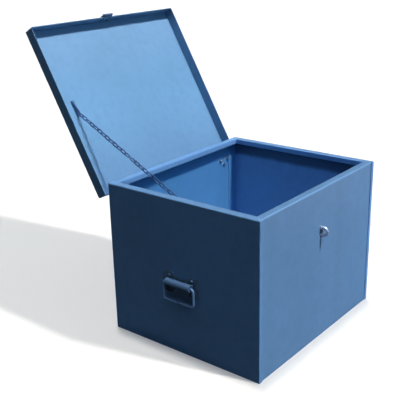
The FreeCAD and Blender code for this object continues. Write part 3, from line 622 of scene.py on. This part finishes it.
def weld(bm, start, end, radius, up, squash=0.6, pitch=2.4 * MM):
    """A hand-laid bead: round ripples along it, a slight wander, and tapered ends."""
    start, end, up = Vector(start), Vector(end), Vector(up)
    length = (end - start).length
    steps = max(8, int(length / (pitch / 4)))
    across = (end - start).cross(up).normalized()
    lean = rng.uniform(0, 2 * math.pi)
    taper_length = 1.6 * radius
    points, radii = [], []
    for step in range(steps + 1):
        share = step / steps
        along = share * length
        from_end = min(1.0, min(along, length - along) / taper_length)
        taper = math.sqrt(max(0.0, 1 - (1 - from_end) ** 2))
        ripple = 1 + 0.13 * math.sin(2 * math.pi * along / pitch) + rng.uniform(-0.04, 0.04)
        wander = 0.18 * radius * math.sin(lean + 2 * math.pi * along / (9 * pitch))
        points.append(start.lerp(end, share) + across * wander)
        radii.append(max(0.12, taper) * radius * ripple)
    sweep(bm, points, radii, up, squash)


def lathe(bm, centre, axis, profile, sides=28):
    """A ring turned about an axis: the profile is (radius, height) points of a closed outline."""
    centre, axis = Vector(centre), Vector(axis).normalized()
    side_way = axis.orthogonal().normalized()
    other = axis.cross(side_way)
    rings = []
    for side in range(sides):
        angle = 2 * math.pi * side / sides
        out = side_way * math.cos(angle) + other * math.sin(angle)
        rings.append([bm.verts.new(centre + out * radius + axis * height) for radius, height in profile])
    for side in range(sides):
        join_rings(bm, rings[side], rings[(side + 1) % sides])


def stitches(low, high, length, spacing):
    """Evenly spread stretches of weld between two ends."""
    count = max(1, round((high - low) / spacing))
    gap = (high - low) / count
    for number in range(count):
        middle = low + gap * (number + 0.5) + rng.uniform(-0.06, 0.06) * gap
        yield middle - length / 2, middle + length / 2


# ---------------------------------------------------------------- welds on the box


def rim_welds():
    """Ground beads along the rim's four mitres, and full ones down its inner corners."""
    bm = bmesh.new()
    for _, side in ENDS:
        for wall_y, rim_y in ((FRONT_FACE, RIM_FRONT), (BACK_INNER, RIM_BACK)):
            outer = Vector((side * (INNER_X - 3 * MM), wall_y + (rim_y - wall_y) * 0.12, HEIGHT))
            inner = Vector((side * (RIM_X + 2.5 * MM), rim_y + (wall_y - rim_y) * 0.10, HEIGHT))
            weld(bm, outer, inner, radius=1.9 * MM, up=UP, squash=0.11)
            weld(bm, (side * RIM_X, rim_y, HEIGHT - 3 * MM), (side * RIM_X, rim_y, RIM_LIP_END),
                 radius=1.3 * MM, up=(side, 0, 0), squash=1.0)
    finish_piece("rim_corner_welds", bm, "box", CHEST)


def floor_welds():
    """Stitches that hold the floor tray's upturned edge to the walls."""
    bm = bmesh.new()
    edge = FLOOR_HIGH.z
    wall_x = INNER_X - 1.0 * MM
    length, spacing, radius = 32 * MM, 145 * MM, 1.9 * MM
    for _, side in ENDS:
        for low, high in stitches(FLOOR_LOW.y, FLOOR_HIGH.y, length, spacing):
            weld(bm, (side * wall_x, low, edge), (side * wall_x, high, edge), radius, UP)
    for wall_y in (FLOOR_LOW.y + 1.0 * MM, FLOOR_HIGH.y - 1.0 * MM):
        for low, high in stitches(-INNER_X, INNER_X, length, spacing):
            weld(bm, (low, wall_y, edge), (high, wall_y, edge), radius, UP)
    finish_piece("floor_stitch_welds", bm, "box", CHEST)


def wall_welds():
    """Stitches down the back corners' returns and the front corners' folds."""
    bm = bmesh.new()
    fold_x = HALF_WIDTH - 15 * MM
    return_y = BACK_INNER - 0.3 * MM
    for _, side in ENDS:
        for low, high in stitches(30 * MM, 500 * MM, length=26 * MM, spacing=118 * MM):
            weld(bm, (side * RETURN_X, return_y, low), (side * RETURN_X, return_y, high),
                 radius=2.1 * MM, up=FORWARD)
        for low, high in stitches(20 * MM, 515 * MM, length=9 * MM, spacing=165 * MM):
            weld(bm, (side * fold_x, FRONT_FACE, low), (side * fold_x, FRONT_FACE, high),
                 radius=1.0 * MM, up=FORWARD)
    finish_piece("wall_stitch_welds", bm, "box", CHEST)


def spot_welds():
    """Shallow round marks where the returns are spotted to the back sheet."""
    bm = bmesh.new()
    lowest, pitch, count = 70 * MM, 66 * MM, 7
    dimple = [(0.2 * MM, -0.3 * MM), (3.2 * MM, -0.3 * MM), (3.2 * MM, 0.1 * MM), (2.6 * MM, 0.35 * MM),
              (2.0 * MM, 0.10 * MM), (0.2 * MM, 0.05 * MM)]
    for _, side in ENDS:
        for number in range(count):
            centre = (side * (INNER_X - 24 * MM), BACK_INNER - SHEET, lowest + pitch * number)
            lathe(bm, centre, FORWARD, dimple, sides=20)
    finish_piece("spot_weld_marks", bm, "box", CHEST)


def sleeve_welds(name, side):
    """Fillets that hold the handle's sleeve to its plate, above and below it."""
    low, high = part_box(f"{name}_handle_sleeve")
    plate_low, plate_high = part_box(f"{name}_handle_plate")
    face = plate_low.x if side < 0 else plate_high.x
    x = face + side * 0.6 * MM
    bm = bmesh.new()
    for above in (-1, 1):
        z = GRIP_AXIS_Z + above * 9.6 * MM
        weld(bm, (x, low.y + 2 * MM, z), (x, high.y - 2 * MM, z), radius=1.9 * MM,
             up=(side, 0, above), squash=0.8)
    finish_piece(f"{name}_handle_sleeve_welds", bm, "box", SHADED_PLATE)


def ring_weld(name):
    """The dressed butt weld that closes the handle's ring, a low swelling in the rod."""
    ring_low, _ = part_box(f"{name}_handle_bail")
    x = JOINTS[f"{name}_bail_swing"]["pos_m"][0]
    rod, half_length, swelling, steps = 4.5 * MM, 4.5 * MM, 0.7 * MM, 12
    points, radii = [], []
    for step in range(steps + 1):
        share = step / steps * 2 - 1
        points.append(Vector((x, share * half_length, ring_low.z + rod)))
        radii.append(rod + swelling * math.cos(share * math.pi / 2) ** 0.7 - 0.05 * MM)
    bm = bmesh.new()
    sweep(bm, points, radii, UP, sides=24)
    finish_piece(f"{name}_ring_weld", bm, f"{name}_bail", FITTING)


rim_welds()
floor_welds()
wall_welds()
spot_welds()
for end_name, end_side in ENDS:
    sleeve_welds(end_name, end_side)
    ring_weld(end_name)

# ---------------------------------------------------------------- washers, staple and anchor

# Each hinge's bolts: how far to the side of its middle, and how far below the pin.
HINGE_BOLTS = ((-22 * MM, 31.5 * MM), (22 * MM, 31.5 * MM), (0, 51 * MM))

staple_low, staple_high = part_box("staple")
STAPLE_WIRE = (staple_high.x - staple_low.x) / 2
STAPLE_LEGS = (staple_low.z + STAPLE_WIRE, staple_high.z - STAPLE_WIRE)


def washer_profile(bore, outer, thickness, chamfer=0.2 * MM):
    """The outline for lathe of a flat washer with its outer face chamfered."""
    return [(bore, 0), (outer, 0), (outer, thickness - chamfer), (outer - chamfer, thickness),
            (bore + chamfer, thickness), (bore, thickness - chamfer)]


def nut_washers():
    """A plain washer under each of the hinges' nuts, inside the back."""
    bm = bmesh.new()
    for name, _ in ENDS:
        leaf_low, leaf_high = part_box(f"{name}_hinge_box_leaf")
        middle = (leaf_low.x + leaf_high.x) / 2
        for aside, drop in HINGE_BOLTS:
            lathe(bm, (middle + aside, BACK_INNER, HINGE.z - drop), FORWARD,
                  washer_profile(3.1 * MM, 6.4 * MM, 1.1 * MM))
    finish_piece("hinge_nut_washers", bm, "box", PLATED)


def staple_collars():
    """A small welded collar round each leg of the staple."""
    bm = bmesh.new()
    inner, foot = STAPLE_WIRE - 0.3 * MM, STAPLE_WIRE + 2.4 * MM
    profile = [(inner, -0.2 * MM), (foot, -0.2 * MM), (foot - 0.3 * MM, 0.7 * MM),
               (foot - 1.2 * MM, 1.5 * MM), (inner, 2.1 * MM)]
    for z in STAPLE_LEGS:
        lathe(bm, (0, FRONT_FACE, z), FORWARD, profile)
    finish_piece("staple_collars", bm, "box", STAPLE)


def staple_shade_pad():
    """A dark oval pad behind the staple, painted shade for the staple's shadow in its loop, with a small
    chamfer round its face.
    """
    bm = bmesh.new()
    half_width, half_height, sides = 10.5 * MM, 21 * MM, 40
    middle = sum(STAPLE_LEGS) / 2
    rings = []
    for share, out in ((1.0, -0.3 * MM), (1.0, 0.5 * MM), (0.95, 0.9 * MM)):
        ring = []
        for side in range(sides):
            angle = 2 * math.pi * side / sides
            ring.append(bm.verts.new((share * half_width * math.cos(angle), FRONT_FACE - out,
                                      middle + share * half_height * math.sin(angle))))
        rings.append(ring)
    for first, second in zip(rings, rings[1:]):
        join_rings(bm, first, second)
    bm.faces.new(rings[0][::-1])
    bm.faces.new(rings[-1])
    finish_piece("staple_shade_pad", bm, "box", SHADED_PLATE, smooth=False)


def paint_run():
    """A narrow run of paint below the staple, which ends in a drop."""
    bm = bmesh.new()
    top, bottom = STAPLE_LEGS[0] - 6 * MM, STAPLE_LEGS[0] - 62 * MM
    steps, drop_at, drop_length = 40, 0.955, 0.03
    points, radii = [], []
    for step in range(steps + 1):
        share = step / steps
        sway = 0.5 * MM * math.sin(5 * share) + 0.2 * MM * math.sin(17 * share)
        drop = math.exp(-((share - drop_at) / drop_length) ** 2)
        thickness = 0.75 + 0.25 * math.sin(9 * share) * (1 - share) + 0.7 * drop
        taper = min(1.0, 12 * share + 0.1, 14 * (1 - share) + 0.1)
        points.append(Vector((sway, FRONT_FACE, top + (bottom - top) * share)))
        radii.append(thickness * MM * taper)
    sweep(bm, points, radii, FORWARD, squash=0.45)
    finish_piece("paint_run", bm, "box", CHEST)


def anchor_welds():
    """Beads that hold the chain's lower anchor to the rim's lip, at both sides and on top."""
    low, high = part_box("chain_box_anchor")
    lip_x = -RIM_X + 0.4 * MM
    top_x, top_z = -RIM_X + 1.8 * MM, HEIGHT - 3 * MM
    bm = bmesh.new()
    for y in (low.y, high.y):
        weld(bm, (lip_x, y, RIM_LIP_END + 1 * MM), (lip_x, y, HEIGHT - 4 * MM), radius=1.6 * MM, up=(1, 0, 0))
    weld(bm, (top_x, low.y + 1 * MM, top_z), (top_x, high.y - 1 * MM, top_z), radius=1.4 * MM, up=(1, 0, 1))
    finish_piece("anchor_welds", bm, "box", FITTING)


nut_washers()
staple_collars()
staple_shade_pad()
paint_run()
anchor_welds()

# ---------------------------------------------------------------- welds on the lid

# The sides of the foot of the chain's bracket, and the middle of its eye, with the lid closed.
BRACKET_LOW_X, BRACKET_HIGH_X = -295.5 * MM, -281.5 * MM
BRACKET_EYE_Y = HALF_DEPTH + 3.5 * MM - 292 * MM


def lid_corner_welds():
    """Beads down the inside corners of the lid's turned-down edges."""
    bm = bmesh.new()
    for side in (-1, 1):
        for end in (-1, 1):
            x, y = side * LID_INNER_X, end * LID_INNER_Y
            weld(bm, (x, y, LID_EDGE + 1 * MM), (x, y, LID_UNDER), radius=0.95 * MM,
                 up=(side, end, 0), squash=1.0)
    bm.transform(OPENED)
    finish_piece("lid_corner_welds", bm, "lid", LID_ENAMEL)


def bracket_welds():
    """Stitches along both sides of the chain bracket's foot."""
    bm = bmesh.new()
    foot, tip = BRACKET_EYE_Y - 48 * MM, BRACKET_EYE_Y + 6 * MM
    for x in (BRACKET_LOW_X - 0.5 * MM, BRACKET_HIGH_X + 0.5 * MM):
        for low, high in stitches(foot, tip, length=20 * MM, spacing=27 * MM):
            weld(bm, (x, low, LID_UNDER), (x, high, LID_UNDER), radius=1.8 * MM, up=DOWN)
    bm.transform(OPENED)
    finish_piece("bracket_welds", bm, "lid", FITTING)


lid_corner_welds()
bracket_welds()
